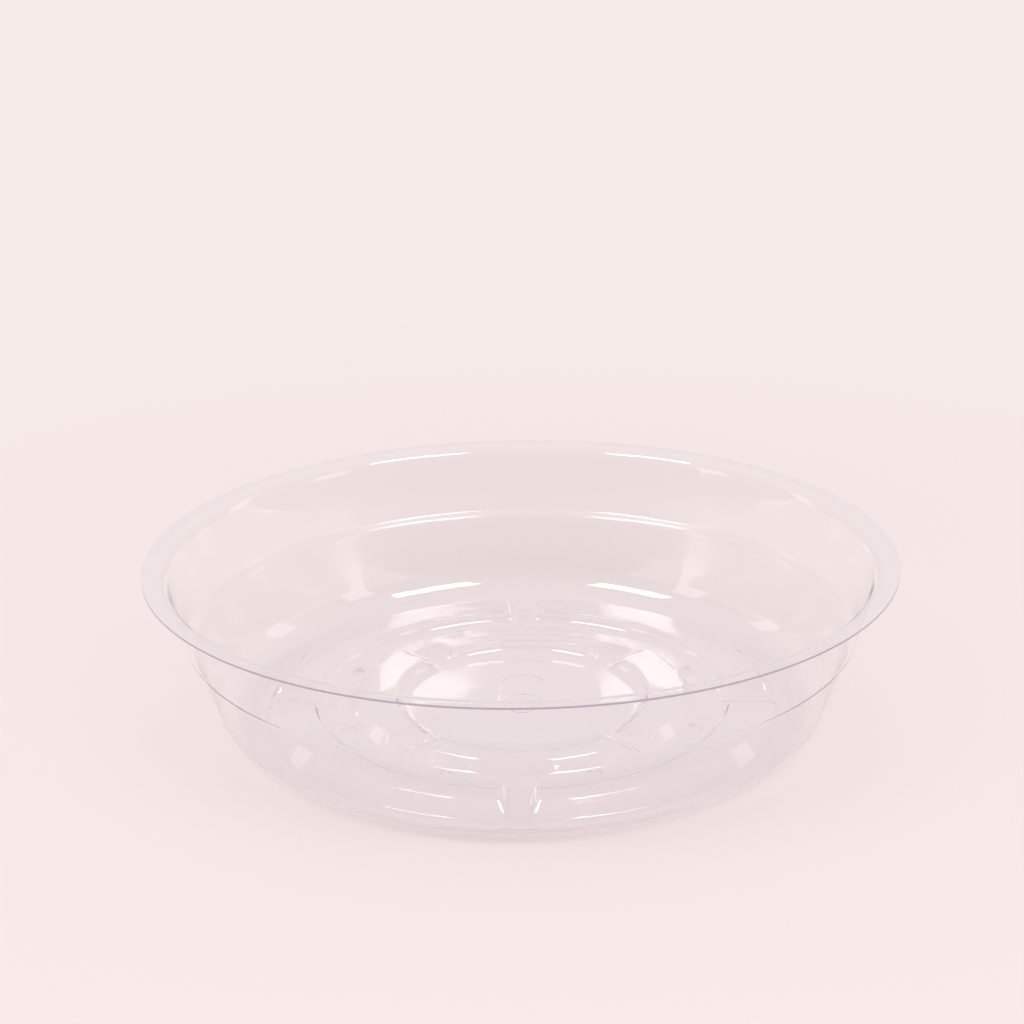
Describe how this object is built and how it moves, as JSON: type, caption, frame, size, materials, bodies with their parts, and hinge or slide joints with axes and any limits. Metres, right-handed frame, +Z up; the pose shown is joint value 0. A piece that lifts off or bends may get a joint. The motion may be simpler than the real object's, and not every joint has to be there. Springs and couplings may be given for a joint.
{
  "type": "plant saucer",
  "caption": "Clear formed plastic saucer that stands under a plant pot and catches its water, with a flat rim, a stepped wall and notched raised rings that carry the pot.",
  "frame": {"origin": "centre of the foot, on the ground, in the middle of the saucer's footprint", "axes": "+Z is up and is the axis of the saucer; the raised figure on the disc reads upright from -Y"},
  "size_m": [0.162, 0.162, 0.0365],
  "materials": {
    "clear_vinyl": "clear, glossy, faintly blue at the cut edge"
  },
  "bodies": {
    "root": {"saucer": "clear_vinyl"}
  },
  "joints": []
}
